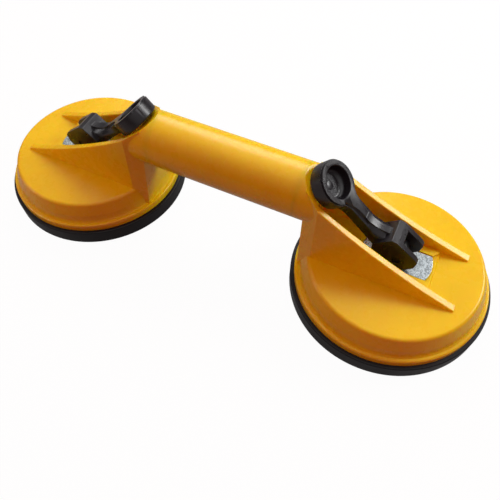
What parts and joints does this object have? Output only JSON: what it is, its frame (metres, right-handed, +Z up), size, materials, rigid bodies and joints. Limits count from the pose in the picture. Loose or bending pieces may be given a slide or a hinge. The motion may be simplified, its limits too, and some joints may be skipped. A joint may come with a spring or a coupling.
{
  "type": "twin-cup suction lifter",
  "caption": "Suction lifter for floor tiles: rubber cups under round plastic covers, joined by a straight round handle, each with a cam lever that pulls the vacuum.",
  "frame": {"origin": "on the floor plane under the pads, midway between the two cups", "axes": "+X along the handle from the left cup to the right cup, +Z up from the floor, +Y across the handle"},
  "size_m": [0.3326, 0.12, 0.0839],
  "materials": {
    "yellow_plastic": "satin moulded plastic",
    "black_plastic": "satin moulded plastic",
    "black_rubber": "matte moulded rubber",
    "galvanised_steel": "hot-dip galvanised, spangled",
    "zinc_steel": "bright zinc plated",
    "spring_steel": "oiled spring wire",
    "dark_steel": "blackened"
  },
  "bodies": {
    "lifter_body": {"handle_tube": "yellow_plastic", "left_rubber_pad": "black_rubber", "left_return_spring": "spring_steel", "left_spring_washer": "zinc_steel", "left_housing": "yellow_plastic", "left_cam_washer": "galvanised_steel", "right_rubber_pad": "black_rubber", "right_return_spring": "spring_steel", "right_spring_washer": "zinc_steel", "right_housing": "yellow_plastic", "right_cam_washer": "galvanised_steel"},
    "left_stud_unit": {"left_core_plate": "zinc_steel", "left_stud": "zinc_steel"},
    "left_lever_unit": {"left_lever": "black_plastic", "left_pivot_pin": "dark_steel"},
    "right_stud_unit": {"right_core_plate": "zinc_steel", "right_stud": "zinc_steel"},
    "right_lever_unit": {"right_lever": "black_plastic", "right_pivot_pin": "dark_steel"}
  },
  "joints": [
    {"name": "left_stud_lift", "type": "slide", "parent": "lifter_body", "child": "left_stud_unit", "axis": [0, 0, 1], "range_m": [0, 0.004], "deforming": ["left_return_spring", "left_rubber_pad"]},
    {"name": "left_lever_hinge", "type": "hinge", "parent": "left_stud_unit", "child": "left_lever_unit", "pos_m": [-0.1063, 0, 0.0385], "axis": [0, -1, 0], "range_deg": [0, 95]},
    {"name": "right_stud_lift", "type": "slide", "parent": "lifter_body", "child": "right_stud_unit", "axis": [0, 0, 1], "range_m": [0, 0.004], "deforming": ["right_return_spring", "right_rubber_pad"]},
    {"name": "right_lever_hinge", "type": "hinge", "parent": "right_stud_unit", "child": "right_lever_unit", "pos_m": [0.1063, 0, 0.0385], "axis": [0, 1, 0], "range_deg": [0, 95]}
  ],
  "couplings": [
    {"joint": "left_lever_hinge", "follows": "left_stud_lift", "rad_per_m": 414.51},
    {"joint": "right_lever_hinge", "follows": "right_stud_lift", "rad_per_m": 414.51}
  ]
}
